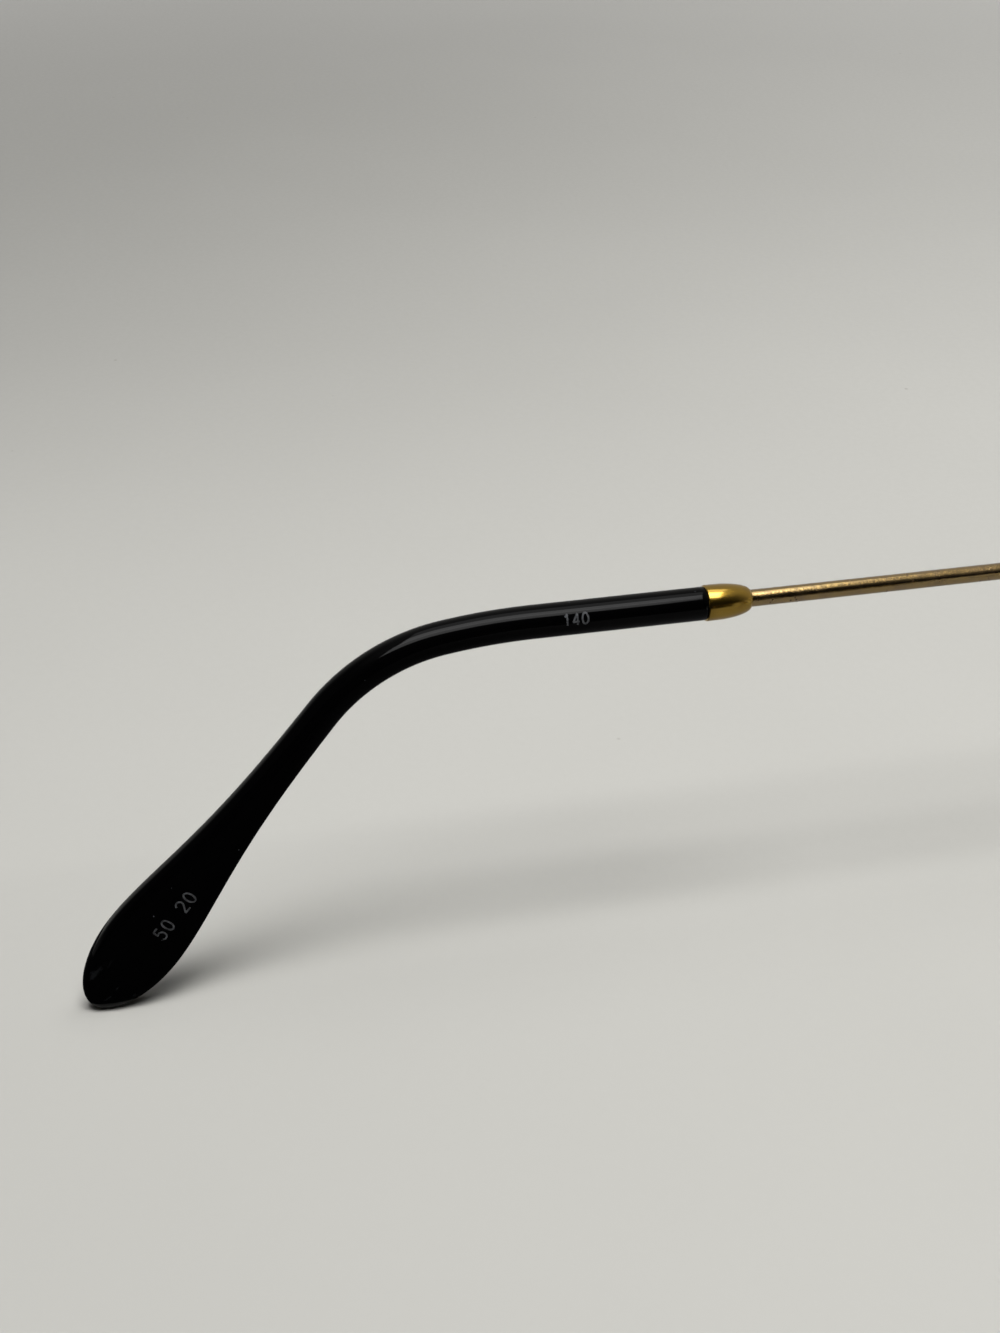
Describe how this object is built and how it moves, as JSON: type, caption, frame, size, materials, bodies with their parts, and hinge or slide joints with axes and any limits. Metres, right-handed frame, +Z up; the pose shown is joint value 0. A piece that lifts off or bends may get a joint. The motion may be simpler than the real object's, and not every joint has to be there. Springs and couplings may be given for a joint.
{
  "type": "eyeglass frame",
  "caption": "Full-rim wire eyeglass frame with folding temples, black paddle tips with gold ferrules, rocking nose pads and clear lenses.",
  "frame": {"origin": "on the table, under the middle of the box round the open frame", "axes": "+X to the wearer's left, +Y from the front towards the temple tips, +Z up; the temples are open, level, and parallel to Y"},
  "size_m": [0.1354, 0.1366, 0.047],
  "materials": {
    "gold_plate": "gold-plated wire, satin, lightly worn",
    "rod_gold": "gold-plated wire worn towards bronze",
    "ferrule_gold": "bright yellow gold, satin",
    "screw_gold": "turned, slotted",
    "tip_black": "high gloss black, some dust",
    "pad_metal": "bright nickel",
    "pad_silicone": "clear silicone, soft sheen",
    "demo_lens": "clear, polished"
  },
  "bodies": {
    "front": {"rim_left": "gold_plate", "rim_right": "gold_plate", "lens_left": "demo_lens", "lens_right": "demo_lens", "bridge": "gold_plate", "closing_block_upper_left": "gold_plate", "closing_block_upper_right": "gold_plate", "closing_block_lower_left": "gold_plate", "closing_block_lower_right": "gold_plate", "rim_screw_left": "screw_gold", "rim_screw_right": "screw_gold", "endpiece_left": "gold_plate", "endpiece_right": "gold_plate", "hinge_screw_left": "screw_gold", "hinge_screw_right": "screw_gold", "pad_arm_left": "gold_plate", "pad_arm_right": "gold_plate", "pad_box_left": "gold_plate", "pad_box_right": "gold_plate", "pad_screw_left": "screw_gold", "pad_screw_right": "screw_gold"},
    "temple_left": {"temple_hinge_left": "gold_plate", "temple_rod_left": "rod_gold", "ferrule_left": "ferrule_gold", "temple_tip_left": "tip_black"},
    "temple_right": {"temple_hinge_right": "gold_plate", "temple_rod_right": "rod_gold", "ferrule_right": "ferrule_gold", "temple_tip_right": "tip_black"},
    "pad_left": {"pad_insert_left": "pad_metal", "nose_pad_left": "pad_silicone"},
    "pad_right": {"pad_insert_right": "pad_metal", "nose_pad_right": "pad_silicone"}
  },
  "joints": [
    {"name": "left_temple_fold", "type": "hinge", "parent": "front", "child": "temple_left", "pos_m": [0.0649, -0.05869, 0.03287], "axis": [0, -0.1045, 0.9945], "range_deg": [0, 90]},
    {"name": "right_temple_fold", "type": "hinge", "parent": "front", "child": "temple_right", "pos_m": [-0.0649, -0.05869, 0.03287], "axis": [0, 0.1045, -0.9945], "range_deg": [0, 85]},
    {"name": "left_pad_rock", "type": "hinge", "parent": "front", "child": "pad_left", "pos_m": [0.0106, -0.05764, 0.01521], "axis": [0.4695, 0.8781, 0.0923], "range_deg": [-12, 12]},
    {"name": "right_pad_rock", "type": "hinge", "parent": "front", "child": "pad_right", "pos_m": [-0.0106, -0.05764, 0.01521], "axis": [0.4695, -0.8781, -0.0923], "range_deg": [-12, 12]}
  ]
}
